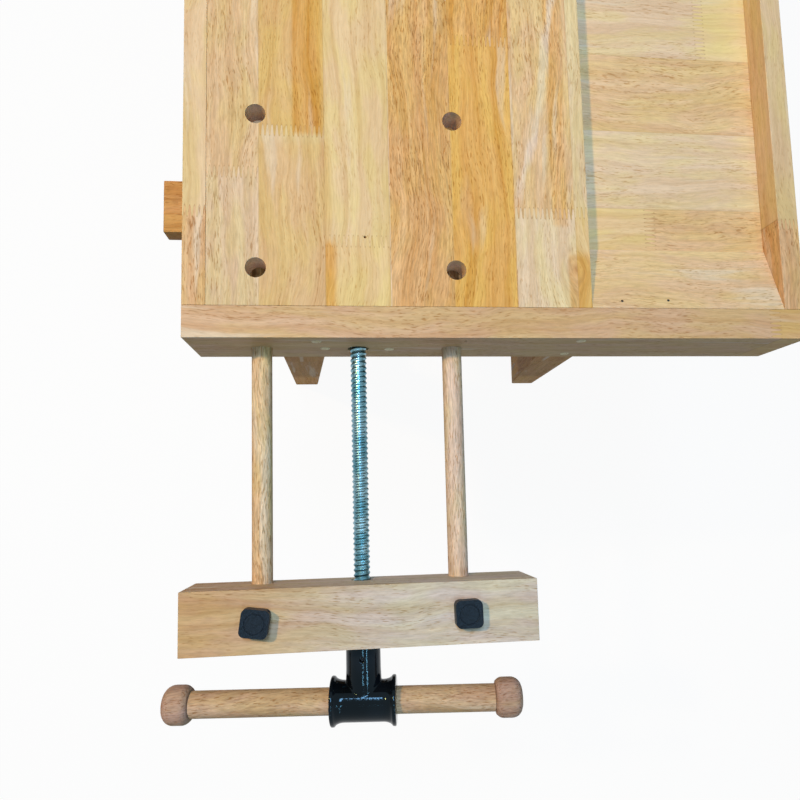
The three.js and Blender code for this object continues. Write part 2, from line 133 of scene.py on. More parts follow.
def rescale(tree, value, low, high, new_low=0.0, new_high=1.0):
    """Spreads the part of a value between low and high, with soft ends."""
    node = add_node(
        tree, "MapRange",
        {"Value": value, "From Min": low, "From Max": high, "To Min": new_low, "To Max": new_high},
        interpolation_type="SMOOTHSTEP",
    )
    return node.outputs["Result"]


def noise(tree, vector, stretch, detail=2.0, roughness=0.5):
    """Noise on millimetres, with its own scale along each axis."""
    scaled = vector_calc(tree, "MULTIPLY", vector, stretch)
    sockets = {"Vector": scaled, "Scale": 1.0, "Detail": detail, "Roughness": roughness}
    return add_node(tree, "TexNoise", sockets).outputs["Fac"]


def new_group(name, inputs, outputs):
    """A node group with named sockets, given as name: type."""
    tree = bpy.data.node_groups.new(name, "ShaderNodeTree")
    for way, sockets in (("INPUT", inputs), ("OUTPUT", outputs)):
        for label, kind in sockets.items():
            tree.interface.new_socket(label, in_out=way, socket_type=f"NodeSocket{kind}")
    return tree, tree.nodes.new("NodeGroupInput").outputs, tree.nodes.new("NodeGroupOutput")


def use_group(tree, group, sockets):
    return add_node(tree, "Group", sockets, node_tree=group).outputs


STAVE_SOCKETS = ("Stave Width", "Shift", "Block Length", "Seed")
# Millimetres
BLOCK_SPREAD = (900, 300, 300)  # within which each block takes its own grain
FINGER_PITCH = 4.4
FINGER_LENGTH = 11.0
KNOT_SIZE = 7.0


def make_stave_group():
    """Staves glued side by side, each of blocks that meet end to end in finger joints.
    The vector is in millimetres, with X along the grain and Y across the staves."""
    tree, given, result = new_group(
        "glued_staves",
        {"Vector": "Vector", **dict.fromkeys(STAVE_SOCKETS, "Float")},
        {"Tone": "Float", "Hue": "Float", "Seam": "Float", "Vector": "Vector"},
    )
    place = split(tree, given["Vector"])
    across = calc(tree, "DIVIDE", calc(tree, "ADD", place["Y"], given["Shift"]), given["Stave Width"])
    stave = calc(tree, "FLOOR", across)
    slip = random_draw(tree, combine(tree, X=stave, Y=given["Seed"]))["Value"]
    half_pitch = FINGER_PITCH / 2
    tooth = calc(tree, "DIVIDE", calc(tree, "PINGPONG", place["Y"], half_pitch), half_pitch)
    tooth = rescale(tree, tooth, 0.15, 0.85)
    ahead = calc(tree, "MULTIPLY_ADD", tooth, FINGER_LENGTH, place["X"])
    lengthwise = calc(tree, "MULTIPLY_ADD", slip, 7.3, calc(tree, "DIVIDE", ahead, given["Block Length"]))
    block = calc(tree, "FLOOR", lengthwise)
    draw = random_draw(tree, combine(tree, X=stave, Y=block, Z=given["Seed"]))
    hue = add_node(tree, "SeparateColor", {0: draw["Color"]}).outputs["Green"]

    edge = times(tree, calc(tree, "PINGPONG", across, 0.5), given["Stave Width"])
    joint = times(tree, calc(tree, "PINGPONG", lengthwise, 0.5), given["Block Length"])
    edge = rescale(tree, edge, 0.1, 0.45, 0.7, 0)
    seam = calc(tree, "MAXIMUM", edge, rescale(tree, joint, 0.2, 1.3, 1, 0))
    shifted = vector_calc(tree, "MULTIPLY_ADD", draw["Color"], BLOCK_SPREAD, given["Vector"])
    feed(tree, result, {"Tone": draw["Value"], "Hue": hue, "Seam": seam, "Vector": shifted})
    return tree


def make_grain_group():
    """Hardwood grain in millimetres, with X along the grain: growth bands, short fibres, dark pores,
    patches of warmer and cooler wood, and a few ashen streaks of sapwood."""
    tree, given, result = new_group(
        "hardwood_grain",
        {"Vector": "Vector", "Pale": "Color", "Deep": "Color", "Figure": "Float", "Fibres": "Float",
         "Sapwood": "Float"},
        {"Color": "Color", "Height": "Float", "Roughness": "Float"},
    )
    bend = noise(tree, given["Vector"], (0.006, 0.013, 0.013), detail=1.0)
    wobble = noise(tree, given["Vector"], (0.022, 0.05, 0.05), detail=2.0)
    sway = calc(tree, "MULTIPLY_ADD", bend, 34.0, times(tree, wobble, 7.0))
    line = vector_calc(tree, "ADD", given["Vector"], combine(tree, Y=sway))

    bands = rescale(tree, noise(tree, line, (0.003, 0.10, 0.08), detail=3.0), 0.34, 0.68)
    lines = rescale(tree, noise(tree, line, (0.010, 0.40, 0.4), detail=3.0, roughness=0.6), 0.36, 0.72)
    figure = calc(tree, "MULTIPLY_ADD", bands, 0.6, times(tree, lines, 0.4))
    figure = times(tree, figure, given["Figure"])
    wood = blend(tree, figure, given["Pale"], given["Deep"])

    mottle = rescale(tree, noise(tree, line, (0.016, 0.06, 0.06), detail=2.0), 0.36, 0.64)
    warmth = blend(tree, mottle, (1.02, 0.965, 1.02, 1), (1.015, 1.005, 0.89, 1))
    wood = blend(tree, 1.0, wood, warmth, "MULTIPLY")
    ash = rescale(tree, noise(tree, line, (0.005, 0.06, 0.06), detail=2.0), 0.60, 0.72)
    ash = times(tree, ash, given["Sapwood"])
    wood = blend(tree, ash, wood, SAPWOOD)

    fibres = noise(tree, line, (0.075, 0.62, 0.62), detail=4.0, roughness=0.62)
    dashes = noise(tree, line, (0.13, 1.05, 1.05), detail=1.0)
    cluster = rescale(tree, noise(tree, line, (0.012, 0.05, 0.05), detail=1.0), 0.35, 0.65, 0.25, 1.0)
    pores = times(tree, rescale(tree, dashes, 0.56, 0.74), cluster)
    pores = times(tree, pores, given["Fibres"])
    swing = times(tree, rescale(tree, fibres, 0.25, 0.75, -0.11, 0.09), given["Fibres"])
    shade = calc(tree, "ADD", swing, 1.01)
    wood = blend(tree, 1.0, wood, grey(tree, shade), "MULTIPLY")
    feed(tree, result, {
        "Color": blend(tree, pores, wood, PORE_TINT, "MULTIPLY"),
        "Height": calc(tree, "SUBTRACT", times(tree, fibres, 0.5), pores),
        "Roughness": calc(tree, "MULTIPLY_ADD", pores, 0.2, rescale(tree, lines, 0, 1, 0.5, 0.62)),
    })
    return tree


def make_speckle_group():
    """Fine unevenness of a cast, plated or moulded surface, on millimetres."""
    tree, given, result = new_group(
        "surface_speckle",
        {"Vector": "Vector", "Grain Size": "Float"},
        {"Fine": "Float", "Broad": "Float"},
    )
    per_mm = calc(tree, "DIVIDE", 1.0, given["Grain Size"])
    scaled = vector_calc(tree, "SCALE", given["Vector"], Scale=per_mm)
    fine = noise(tree, scaled, (1, 1, 1), detail=3.0)
    feed(tree, result, {"Fine": fine, "Broad": noise(tree, scaled, (0.06, 0.06, 0.06), detail=2.0)})
    return tree


def make_knot_group():
    """Grain that runs round a knot: moves the vector of the grain sideways near the middle, and marks the
    core and the rings of the knot. On millimetres, with X along the grain."""
    tree, given, result = new_group(
        "grain_knot",
        {"Vector": "Vector", "Shifted": "Vector", "Middle": "Vector"},
        {"Vector": "Vector", "Core": "Float"},
    )
    flat = vector_calc(tree, "MULTIPLY", given["Vector"], (1, 1, 0))
    away = vector_calc(tree, "SUBTRACT", flat, given["Middle"])
    squeezed = vector_calc(tree, "MULTIPLY", away, (0.6, 1, 1))
    length = add_node(tree, "VectorMath", {0: squeezed}, operation="LENGTH").outputs["Value"]
    far = calc(tree, "DIVIDE", length, KNOT_SIZE)
    pull = rescale(tree, far, 0.2, 4.0, -0.75, 0.0)
    across = split(tree, away)["Y"]
    aside = combine(tree, Y=times(tree, across, pull))
    rings = rescale(tree, calc(tree, "SINE", times(tree, far, 7.0)), -1, 1)
    rings = times(tree, rings, rescale(tree, far, 0.8, 3.2, 0.22, 0))
    core = calc(tree, "MAXIMUM", rings, rescale(tree, far, 0.1, 1.0, 0.45, 0))
    feed(tree, result, {"Vector": vector_calc(tree, "ADD", given["Shifted"], aside), "Core": core})
    return tree


SAPWOOD = srgb(222, 201, 175)
KNOT = srgb(176, 122, 66)
PORE_TINT = (0.74, 0.61, 0.48, 1)

glued_staves = make_stave_group()
hardwood_grain = make_grain_group()
surface_speckle = make_speckle_group()
grain_knot = make_knot_group()


def new_material(name):
    material = bpy.data.materials.new(name)
    material.use_nodes = True
    tree = material.node_tree
    shader = tree.nodes["Principled BSDF"]
    place = add_node(tree, "TexCoord").outputs["Object"]
    return material, tree, shader, vector_calc(tree, "SCALE", place, Scale=1 / MM)


def bump(tree, height, distance):
    sockets = {"Height": height, "Strength": 1.0, "Distance": distance}
    return add_node(tree, "Bump", sockets).outputs["Normal"]


# Colours of the wood: the pale and the deep line of a cream stave, then of a honey stave
CREAM = (srgb(230, 209, 163), srgb(212, 185, 135))
HONEY = (srgb(223, 178, 108), srgb(199, 141, 64))
GLUE_LINE = srgb(150, 108, 64)
# Tints of the blocks, from one to the other
PINKISH = (0.965, 0.96, 1.14, 1)
YELLOWISH = (1.01, 1.0, 0.86, 1)


def ramp_steps(tree, across, steps):
    """The honey and the painted shade that each stave takes, from (place, honey, shade) steps across the
    staves; the shade darkens staves where less light falls.
    """
    low, high = steps[0][0], steps[-1][0]
    share = calc(tree, "DIVIDE", calc(tree, "SUBTRACT", across, low), high - low)
    ramp = add_node(tree, "ValToRGB", {"Fac": share})
    ramp.color_ramp.interpolation = "CONSTANT"
    stops = ramp.color_ramp.elements
    for number, (where, honey, shade) in enumerate(steps[:-1]):
        stop = stops[number] if number < 2 else stops.new(1)
        stop.position = (where - low) / (high - low)
        stop.color = (honey, shade, 0, 1)
    parts = add_node(tree, "SeparateColor", {0: ramp.outputs["Color"]}).outputs
    return parts["Red"], parts["Green"]


def patch_share(tree, along, across, start, end, first, last):
    """1 between start and end along the grain and between first and last across it, with soft edges."""
    begun = rescale(tree, along, start - 5, start + 9)
    lengthwise = times(tree, begun, rescale(tree, along, end - 3, end + 3, 1, 0))
    reached = rescale(tree, across, first - 2, first + 2)
    crosswise = times(tree, reached, rescale(tree, across, last - 7, last + 3, 1, 0))
    return times(tree, lengthwise, crosswise)


def streak_share(tree, place, along, across, start, end, first, last, width):
    """1 on a winding band that runs from start to end along the grain and from first to last across it."""
    done = calc(tree, "DIVIDE", calc(tree, "SUBTRACT", along, start), end - start)
    turns = calc(tree, "SINE", times(tree, done, 5.0))
    straight = calc(tree, "MULTIPLY_ADD", done, last - first, first)
    line = calc(tree, "ADD", times(tree, turns, 2.5), straight)
    ragged = calc(tree, "MULTIPLY_ADD", noise(tree, place, (0.02, 0.12, 0.1), detail=3.0), 12.0, line)
    aside = calc(tree, "ABSOLUTE", calc(tree, "SUBTRACT", across, calc(tree, "SUBTRACT", ragged, 6.0)))
    band = rescale(tree, aside, 0.1 * width, width, 0.85, 0)
    return times(tree, band, rescale(tree, done, 0.7, 1, 1, 0))


def make_wood(name, grain, staves, cream=CREAM, honey=HONEY, tone=(0.0, 1.0), tone_ramp=None, fade=None,
              figure=1.0, sapwood=0.7, fibres=(0.55, 1.25), patches=(), streak=None, knot=None):
    """A lacquered wood with its grain along an axis, and places on it in millimetres.

    staves gives the width, shift, block length and seed of its staves. tone is the range of honey that its
    blocks take, and fibres the strength of the fine grain in a cream and in a honey block, up to twice that
    in pinkish ones. tone_ramp gives the staves more honey and a shade, as in ramp_steps. fade tints the wood
    from a start to an end along the grain. patches add honey, each between the places of patch_share. streak
    is a winding band of sapwood, as in streak_share, and knot a place along and across that the grain runs
    round."""
    material, tree, shader, place = new_material(name)
    parts = split(tree, place)
    order = {"X": "XYZ", "Y": "YXZ", "Z": "ZXY"}[grain]
    along, across = parts[order[0]], parts[order[1]]
    lined_up = combine(tree, X=along, Y=across, Z=parts[order[2]])
    glued = use_group(tree, glued_staves, {"Vector": lined_up, **dict(zip(STAVE_SOCKETS, staves))})
    honey_share = calc(tree, "MULTIPLY_ADD", glued["Tone"], tone[1] - tone[0], tone[0])
    warmth = blend(tree, glued["Hue"], PINKISH, YELLOWISH)
    if tone_ramp:
        # Painted shade: the ramp's shade darkens some staves where less light falls
        more_honey, shade = ramp_steps(tree, across, tone_ramp)
        honey_share = calc(tree, "ADD", honey_share, more_honey)
        warmth = blend(tree, 1.0, warmth, grey(tree, shade), "MULTIPLY")
    for *edges, extra in patches:
        covered = patch_share(tree, along, across, *edges)
        honey_share = calc(tree, "MULTIPLY_ADD", covered, extra, honey_share)
    honey_share = calc(tree, "MAXIMUM", calc(tree, "MINIMUM", honey_share, 1.0), 0.0)
    if fade:
        start, end, colour = fade
        warmth = blend(tree, rescale(tree, along, start, end), warmth, colour)

    grain_place = glued["Vector"]
    marks = []
    if streak:
        marks.append((streak_share(tree, lined_up, along, across, *streak), SAPWOOD))
    if knot:
        sockets = {"Vector": lined_up, "Shifted": grain_place, "Middle": (*knot, 0)}
        bent = use_group(tree, grain_knot, sockets)
        grain_place = bent["Vector"]
        marks.append((bent["Core"], KNOT))
    lines = []
    for cream_line, honey_line in zip(cream, honey):
        mixed = blend(tree, honey_share, cream_line, honey_line)
        mixed = blend(tree, 1.0, mixed, warmth, "MULTIPLY")
        for share, colour in marks:
            mixed = blend(tree, share, mixed, colour)
        lines.append(mixed)
    strength = calc(tree, "MULTIPLY_ADD", honey_share, fibres[1] - fibres[0], fibres[0])
    strength = times(tree, strength, rescale(tree, glued["Hue"], 0.1, 0.5, 2.0, 1.0))
    wood = use_group(
        tree, hardwood_grain,
        {"Vector": grain_place, "Pale": lines[0], "Deep": lines[1], "Figure": figure, "Sapwood": sapwood,
         "Fibres": strength},
    )
    seamed = blend(tree, times(tree, glued["Seam"], 0.35), wood["Color"], GLUE_LINE)
    feed(tree, shader, {
        "Base Color": seamed, "Roughness": wood["Roughness"], "Normal": bump(tree, wood["Height"], 0.00012),
        "Specular IOR Level": 0.06, "Coat Weight": 0.015, "Coat Roughness": 0.35,
    })
    return material


def make_surface(name, grain_size, colours, cloud, rough, inputs, height=0.0):
    """A plated, cast or moulded surface. cloud is the noise that its colour follows and the values between
    which it changes, rough the noise that its roughness follows and its limits, and height that of its
    bumps in metres."""
    material, tree, shader, place = new_material(name)
    speckle = use_group(tree, surface_speckle, {"Vector": place, "Grain Size": grain_size})
    kind, *spread = cloud
    share = rescale(tree, speckle[kind], *spread) if spread else speckle[kind]
    kind, low, high = rough
    feed(tree, shader, {
        "Base Color": blend(tree, share, *colours),
        "Roughness": rescale(tree, speckle[kind], 0.3, 0.7, low, high),
        **inputs,
    })
    if height:
        feed(tree, shader, {"Normal": bump(tree, speckle["Fine"], height)})
    return material


def make_woods(kind, staves, seeds, *colours, **settings):
    """The same wood with its grain along X and along Y, each with its seed."""
    return {
        axis: make_wood(f"{kind}_wood_{axis.lower()}", axis, (*staves, seed), *colours, **settings)
        for axis, seed in zip("XY", seeds)
    }


# Across the worktop's staves: place, honey and painted shade, darker on the left staves where less light
# falls
WORKTOP_TONES_AND_SHADE = (
    (-199, -0.05, 0.925), (-138, 0.02, 0.92), (-77.1, -0.2, 0.98), (-16.2, 0.55, 1), (44.7, 0.65, 1.02),
    (105.6, -0.03, 1.02), (166.5, -0.3, 1), (190, 0, 1),
)
# Places along and across the worktop, and their honey
WORKTOP_PATCHES = (
    (480, 560, -76, -66, 0.9), (0, 374, -106, -77, 0.5), (381, 560, -138, -70, 0.25),
    (0, 460, 144, 162, 0.4), (486, 560, 158, 190, 0.6),
)
worktop_wood = make_wood(
    "worktop_wood", "X", (60.9, 16.2, 340, 90538.49), tone=(0.0, 0.6), tone_ramp=WORKTOP_TONES_AND_SHADE, sapwood=0.5,
    patches=WORKTOP_PATCHES, streak=(290, 452, 142, 110, 6), knot=(504, 165),
)
EDGE_WOOD = (srgb(223, 199, 153), srgb(205, 175, 127)), (srgb(214, 168, 106), srgb(191, 133, 66))
edge_wood = make_wood("edge_wood", "X", (900, 300, 400, 50335), *EDGE_WOOD, tone=(0.0, 0.7))
END_WOOD = (srgb(216, 198, 170), srgb(198, 176, 141)), (srgb(210, 169, 113), srgb(187, 133, 67))
end_wood = make_wood(
    "end_wood", "Y", (900, 0, 700, 7921), *END_WOOD, tone=(0.4, 0.9), figure=0.8, fibres=(0.4, 0.85),
)
tray_wood = make_wood(
    "tray_wood", "Y", (84.8, 81.2, 300, 4751), tone=(0.0, 0.6), figure=0.8, fibres=(0.4, 0.9),
)
ramp_wood = make_wood("ramp_wood", "Y", (900, 0, 900, 26), tone=(0.1, 0.7), figure=0.8, fibres=(0.4, 0.9))
FRAME_WOOD = (srgb(206, 163, 104), srgb(184, 136, 76)), (srgb(196, 145, 80), srgb(166, 110, 52))
FOOT_FADE = (110, 70, (1.5, 1.5, 1.6, 1))  # paler towards the feet
frame_wood = make_woods("frame", (80, 0, 400), (21, 22), *FRAME_WOOD, tone=(0.3, 0.9))
frame_wood["Z"] = make_wood(
    "frame_wood_z", "Z", (80, 0, 400, 23), *FRAME_WOOD, tone=(0.3, 0.9), fade=FOOT_FADE,
)
# Jaw wood darker than the worktop's, and greyer towards its middle by JAW_SHADE_TINT: painted shade for the
# dimmer light on the jaw
JAW_WOOD = (srgb(204, 178, 135), srgb(188, 156, 110)), (srgb(199, 156, 100), srgb(177, 128, 74))
JAW_SHADE_TINT = (1.05, 1.41, 2.5, 1)  # reached between one end of the jaw and its middle
jaw_wood = {
    axis: make_wood(
        f"jaw_wood_{axis.lower()}", axis, (900, 300, 400, seed), *JAW_WOOD, tone=(0.1, 0.8),
        fibres=(0.5, 0.8), fade=(start, end, JAW_SHADE_TINT),
    )
    for axis, seed, start, end in (("X", 31, -700, -420), ("Y", 1957, -200, 0))
}
WHOLE = (9000, 3000, 9000)  # one stave and one block, larger than any piece
# Handle and knob woods darker than the rods': painted shade for the dimmer light out at the handles
HANDLE_WOOD = (srgb(206, 180, 142), srgb(184, 152, 112)), (srgb(198, 166, 124), srgb(174, 134, 92))
KNOB_WOOD = (srgb(188, 160, 134), srgb(168, 136, 108)), (srgb(182, 150, 120), srgb(158, 122, 92))
ROD_WOOD = (srgb(226, 206, 170), srgb(206, 180, 142)), (srgb(220, 190, 144), srgb(200, 160, 110))
handle_wood = make_woods("handle", WHOLE, (41, 42), *HANDLE_WOOD, tone=(0.2, 0.7), fibres=(1.0, 1.4))
knob_wood = make_woods("knob", WHOLE, (41, 42), *KNOB_WOOD, tone=(0.2, 0.7), fibres=(1.0, 1.4))
rod_wood = make_woods("rod", (188, 235, 9000), (132113, 132113), *ROD_WOOD, fibres=(0.55, 5.0))
# Dog-hole walls in a wood paler than the worktop's: painted light, so the walls show lighter inside the
# holes
HOLE_WALL_LIT_WOOD = (srgb(240, 220, 200), srgb(220, 196, 174)), (srgb(230, 208, 186), srgb(208, 182, 160))
hole_wall_lit_wood = make_wood("hole_wall_lit_wood", "X", (*WHOLE, 0), *HOLE_WALL_LIT_WOOD)
# Plugs of a paler wood than the end board, made paler still: painted light on plugs in the board's shade
PLUG_WOOD = (srgb(253, 242, 216), srgb(244, 228, 196)), (srgb(250, 234, 204), srgb(238, 216, 180))
plug_wood = make_wood("plug_wood", "Z", (*WHOLE, 0), *PLUG_WOOD)
plated_steel = make_surface(
    "plated_steel", 0.9, (srgb(88, 140, 158), srgb(130, 168, 182)), ("Broad", 0.35, 0.65),
    ("Fine", 0.22, 0.36), {"Metallic": 1.0}, 0.00003,
)
# Black enamel on a casting, with a blue sheen
cast_black = make_surface(
    "cast_black", 3.0, (srgb(6, 8, 11), srgb(16, 20, 27)), ("Broad", 0.35, 0.65), ("Fine", 0.07, 0.12),
    {"Specular IOR Level": 0.18, "Specular Tint": (0.5, 0.8, 1.0, 1)}, 0.00007,
)
dog_plastic = make_surface(
    "dog_plastic", 0.7, (srgb(9, 13, 19), srgb(33, 42, 54)), ("Fine", 0.3, 0.7), ("Broad", 0.34, 0.46),
    {"Specular IOR Level": 0.12, "Specular Tint": (0.7, 0.9, 1.0, 1)}, 0.0001,
)
# Oiled steel of the pins and nail heads
dark_steel = make_surface(
    "dark_steel", 1.2, (srgb(16, 18, 22), srgb(44, 46, 50)), ("Fine",), ("Broad", 0.4, 0.6),
    {"Metallic": 0.8},
)


# Modelling

def point(x, y, z):
    """A place given in millimetres."""
    return Vector((x, y, z)) * MM


def take_name(name):
    piece = bpy.context.object
    piece.name = name
    piece.data.name = name
    return piece


def pick(*pieces):
    """Selects these pieces alone; the last one is active."""
    bpy.ops.object.select_all(action="DESELECT")
    for piece in pieces:
        piece.select_set(True)
        bpy.context.view_layer.objects.active = piece


def open_mesh(piece, action="SELECT"):
    """Opens the piece's mesh for editing, with all of it selected or none."""
    pick(piece)
    bpy.ops.object.mode_set(mode="EDIT")
    bpy.ops.mesh.select_all(action=action)


def close_mesh():
    bpy.ops.object.mode_set(mode="OBJECT")


def settle(piece):
    """Puts the piece's place, turn and size into its mesh."""
    pick(piece)
    bpy.ops.object.transform_apply(location=True, rotation=True, scale=True)
    return piece


def modify(piece, kind, **settings):
    pick(piece)
    modifier = piece.modifiers.new(kind.lower(), kind)
    for key, value in settings.items():
        setattr(modifier, key, value)
    bpy.ops.object.modifier_apply(modifier=modifier.name)


def add_block(name, low, high):
    pick()
    bpy.ops.mesh.primitive_cube_add(size=1, location=(low + high) / 2, scale=high - low)
    return settle(take_name(name))


def add_bar(name, axis, middle, radius, length, sides=ROUND):
    pick()
    bpy.ops.mesh.primitive_cylinder_add(
        vertices=sides, radius=radius, depth=length, location=middle, rotation=LENGTHWISE[axis],
    )
    return settle(take_name(name))


def remove(*pieces):
    for piece in pieces:
        bpy.data.objects.remove(piece, do_unlink=True)


def cut_away(piece, tools, operation="DIFFERENCE"):
    """Cuts the tools out of the piece, or joins them to it, and removes them."""
    for tool in tools:
        modify(piece, "BOOLEAN", operation=operation, object=tool, solver="EXACT")
    remove(*tools)


def bore(piece, axis, middles, radius, length, sides=ROUND):
    """Round holes of one size along an axis, cut together."""
    drills = [add_bar("drill", axis, middle, radius, length, sides) for middle in middles]
    pick(*drills)
    if len(drills) > 1:
        bpy.ops.object.join()
    cut_away(piece, [bpy.context.object])


def soften(piece, width, segments=2):
    """Rounds over the sharp edges and smooths the round faces."""
    modify(
        piece, "BEVEL", width=width, segments=segments, limit_method="ANGLE", angle_limit=math.radians(40),
        use_clamp_overlap=True, harden_normals=False,
    )
    smooth(piece)
    modify(piece, "WEIGHTED_NORMAL", mode="FACE_AREA", weight=50, keep_sharp=True)
    return piece


def smooth(piece, angle=35):
    pick(piece)
    bpy.ops.object.shade_smooth_by_angle(angle=math.radians(angle))
    return piece


def turn(name, profile, sides=ROUND):
    """A turned piece along Z: a disc extruded and scaled from each (radius, height) to the next, in
    millimetres."""
    pick()
    (radius, height), *rest = [(radius * MM, height * MM) for radius, height in profile]
    bpy.ops.mesh.primitive_circle_add(
        vertices=sides, radius=radius, fill_type="NGON", location=(0, 0, height),
    )
    piece = take_name(name)
    open_mesh(piece)
    for next_radius, next_height in rest:
        bpy.ops.mesh.extrude_region_move(TRANSFORM_OT_translate={"value": (0, 0, next_height - height)})
        share = next_radius / radius
        bpy.ops.transform.resize(value=(share, share, 1), center_override=(0, 0, next_height))
        radius, height = next_radius, next_height
    bpy.ops.mesh.select_all(action="SELECT")
    bpy.ops.mesh.normals_make_consistent(inside=False)
    close_mesh()
    return settle(piece)


def move(piece, turned=(0, 0, 0), place=(0, 0, 0)):
    piece.rotation_euler = turned
    piece.location = place
    return settle(piece)


def copy_piece(piece, name):
    pick(piece)
    bpy.ops.object.duplicate()
    return take_name(name)


body_of = {
    node: body for body, row in frame["record"]["behaviour"]["bodies"].items()
    for node in (row if isinstance(row, list) else row["nodes"])
}


def add_trim(piece, node, material):
    """A piece on the body of the node that carries it, with that node's slot."""
    piece.data.materials.clear()
    piece.data.materials.append(material)
    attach(piece, body_of[node])


def stand_for(piece, node, material):
    """The piece takes the node's place, on its body and with its slot."""
    add_trim(piece, node, material)
    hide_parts(node)


def shift_points(piece, wanted, offset):
    """Moves the points for which wanted is true."""
    open_mesh(piece, "DESELECT")
    close_mesh()
    for vertex in piece.data.vertices:
        vertex.select = wanted(vertex.co)
    bpy.ops.object.mode_set(mode="EDIT")
    bpy.ops.transform.translate(value=offset)
    close_mesh()


def round_edges(piece, axis, radius, segments):
    """Rounds the edges that run along an axis, 0 to 2, with a radius in millimetres."""
    open_mesh(piece, "DESELECT")
    bpy.ops.mesh.select_mode(type="EDGE")
    close_mesh()
    for edge in piece.data.edges:
        start, end = (piece.data.vertices[number].co for number in edge.vertices)
        edge.select = abs(start[axis] - end[axis]) > MM
    bpy.ops.object.mode_set(mode="EDIT")
    bpy.ops.mesh.bevel(offset=radius * MM, segments=segments, affect="EDGES")
    bpy.ops.mesh.select_mode(type="VERT")
    close_mesh()


# Boards of the top and the trestles

tail_jaw_low, tail_jaw_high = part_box("tail_jaw")
front_jaw_low, front_jaw_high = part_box("front_jaw")
top_z = tail_jaw_high.z
screw_z = top_z - VISE_DROP
tail_middle = Vector((tail_jaw_low.x, (tail_jaw_low.y + tail_jaw_high.y) / 2, top_z))
front_middle = Vector(((front_jaw_low.x + front_jaw_high.x) / 2, front_jaw_high.y, top_z))
guide_offsets = (-GUIDE_SPREAD / 2, GUIDE_SPREAD / 2)


def board(node):
    return add_block(f"{node}_planed", *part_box(node))


def finish_board(piece, node, material, rounding):
    stand_for(soften(piece, rounding * MM), node, material)


def middle_of(node):
    low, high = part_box(node)
    return (low + high) / 2


def bore_for_vise(piece, node, axis):
    """Holes for the rods and the screw, along X for the tail vise and along Y for the front vise."""
    low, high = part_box(node)
    along, across, middle = (0, 1, tail_middle) if axis == "X" else (1, 0, front_middle)
    screw = Vector((middle.x, middle.y, screw_z))
    screw[along] = (low[along] + high[along]) / 2
    rods = [screw.copy(), screw.copy()]
    for rod, offset in zip(rods, guide_offsets):
        rod[across] += offset
    length = 2 * (high[along] - low[along])
    bore(piece, axis, rods, RUNNING_HOLE, length)
    bore(piece, axis, [screw], SCREW_HOLE, length)


RAMP_TOE = 2 * MM  # height of a ramp's thin end

# Small marks, in millimetres
PLUGS = ((-79.8, 816), (-16.2, 813), (171, 848), (173, 793), (-87, 844))  # Y and Z on the right end board
PIN_HOLE = (56, 847)  # Y and Z on the right end board
NAILS = ((533.9, 211.6), (532.8, 259.5))  # X and Y on the right ramp
PIT = (475, -39.7)  # X and Y on the worktop


def make_plugs():
    """Wooden plugs, hardly proud of the right end board."""
    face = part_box("end_board_right")[1].x
    profile = ((4.4, -3), (4.9, -2.6), (4.9, -0.1), (4.6, 0.15), (3.6, 0.28), (1.6, 0.35))
    plug = smooth(turn("plug", profile, SMALL), 50)
    for number, (y, z) in enumerate(PLUGS):
        piece = move(copy_piece(plug, f"plug_{number + 1}"), LENGTHWISE["X"], (face, y * MM, z * MM))
        add_trim(piece, "end_board_right", plug_wood)
    remove(plug)


def make_nails():
    """Nail heads in the right ramp, square to its slope."""
    low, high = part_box("tray_ramp_right")
    rise = high.z - low.z - RAMP_TOE
    slope = math.atan2(rise, high.x - low.x)
    profile = ((0.7, -3), (0.8, -0.4), (1.3, -0.2), (1.3, 0.1), (1.0, 0.25))
    nail = smooth(turn("nail", profile, SMALL), 50)
    for number, (x, y) in enumerate(NAILS):
        z = low.z + RAMP_TOE + rise * (x * MM - low.x) / (high.x - low.x)
        piece = move(copy_piece(nail, f"nail_{number + 1}"), (0, -slope, 0), (x * MM, y * MM, z))
        add_trim(piece, "tray_ramp_right", dark_steel)
    remove(nail)


DOG_PITCH = 150 * MM
DOG_FROM_END = 66 * MM


def make_worktop():
    low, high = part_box("top_slab")
    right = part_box("end_board_right")[1].x
    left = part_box("end_board_left")[0].x
    piece = add_block("worktop", low, high)
    count = int((right - left - 2 * DOG_FROM_END) / DOG_PITCH) + 1
    middle_z = (low.z + high.z) / 2
    holes = [
        Vector((right - DOG_FROM_END - number * DOG_PITCH, tail_middle.y + offset, middle_z))
        for number in range(count) for offset in guide_offsets
    ]
    bore(piece, "Z", holes, DOG_HOLE, 2 * (high.z - low.z))
    bore(piece, "Z", [Vector((PIT[0] * MM, PIT[1] * MM, high.z))], 1.2 * MM, 12 * MM, SMALL)
    finish_board(piece, "top_slab", worktop_wood, 0.3)
    # The dog-hole walls take the paler wood: painted light
    piece.data.materials.append(hole_wall_lit_wood)
    for face in piece.data.polygons:
        off_axis = min((face.center - hole).xy.length for hole in holes)
        if abs(face.normal.z) < 0.2 and off_axis < 1.1 * DOG_HOLE:
            face.material_index = 1


def bore_end_board(piece):
    """Holes for the plugs of the right end board, and a small one for a pin."""
    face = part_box("end_board_right")[1].x
    plugs = [Vector((face, y * MM, z * MM)) for y, z in PLUGS]
    bore(piece, "X", plugs, 5.1 * MM, 6.4 * MM, SMALL)
    y, z = PIN_HOLE
    bore(piece, "X", [Vector((face, y * MM, z * MM))], 1.6 * MM, 16 * MM, SMALL)


